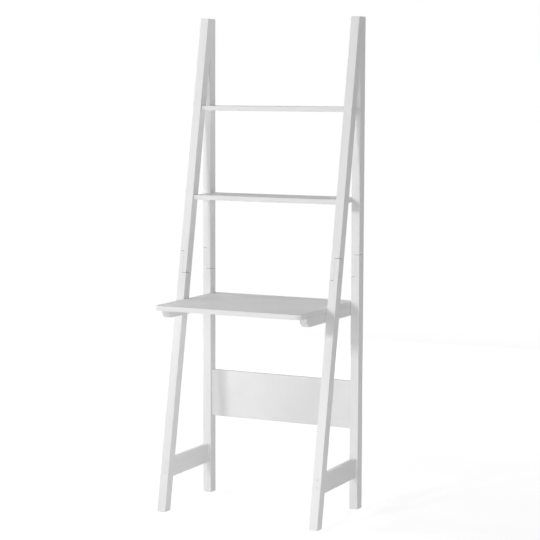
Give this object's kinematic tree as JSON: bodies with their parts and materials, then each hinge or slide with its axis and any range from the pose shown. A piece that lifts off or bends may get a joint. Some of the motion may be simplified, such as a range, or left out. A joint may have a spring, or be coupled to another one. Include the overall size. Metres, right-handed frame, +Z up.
{
  "type": "ladder desk",
  "caption": "Tall ladder desk with sloping front posts, a desk board on bearers, shelves above that get shallower, a low back panel and side rails.",
  "frame": {"origin": "on the floor, in the middle of the width and of the depth, which runs from the front edge of the desk board to the backs of the rear posts", "axes": "+Z up, +Y to the rear (the wall side), +X to the sitter's right"},
  "size_m": [0.647, 0.472, 1.8],
  "materials": {
    "painted_post": "satin white paint on solid wood",
    "painted_board": "satin white paint on fibreboard",
    "zinc_steel": "bright zinc plate",
    "brass_insert": "as turned",
    "beech_dowel": "bare wood",
    "cap_plastic": "moulded white plastic"
  },
  "bodies": {
    "root": {"desk_board": "painted_board", "upper_shelf": "painted_board", "lower_shelf": "painted_board", "back_panel": "painted_board", "right_desk_bearer": "painted_board", "left_desk_bearer": "painted_board", "right_front_post_lower": "painted_post", "right_front_post_upper": "painted_post", "right_rear_post_lower": "painted_post", "right_rear_post_upper": "painted_post", "right_lower_side_rail": "painted_post", "left_front_post_lower": "painted_post", "left_front_post_upper": "painted_post", "left_rear_post_lower": "painted_post", "left_rear_post_upper": "painted_post", "left_lower_side_rail": "painted_post", "shelf_screws": "zinc_steel", "bearer_screws": "zinc_steel", "panel_screws": "zinc_steel", "rail_screws": "zinc_steel", "lap_bolts": "zinc_steel", "board_screws": "zinc_steel", "lap_bolt_inserts": "brass_insert", "top_joint_dowels": "beech_dowel", "shelf_screw_caps": "cap_plastic", "bearer_screw_caps": "cap_plastic", "panel_screw_caps": "cap_plastic", "rail_screw_caps": "cap_plastic", "lap_bolt_caps": "cap_plastic"}
  },
  "joints": []
}
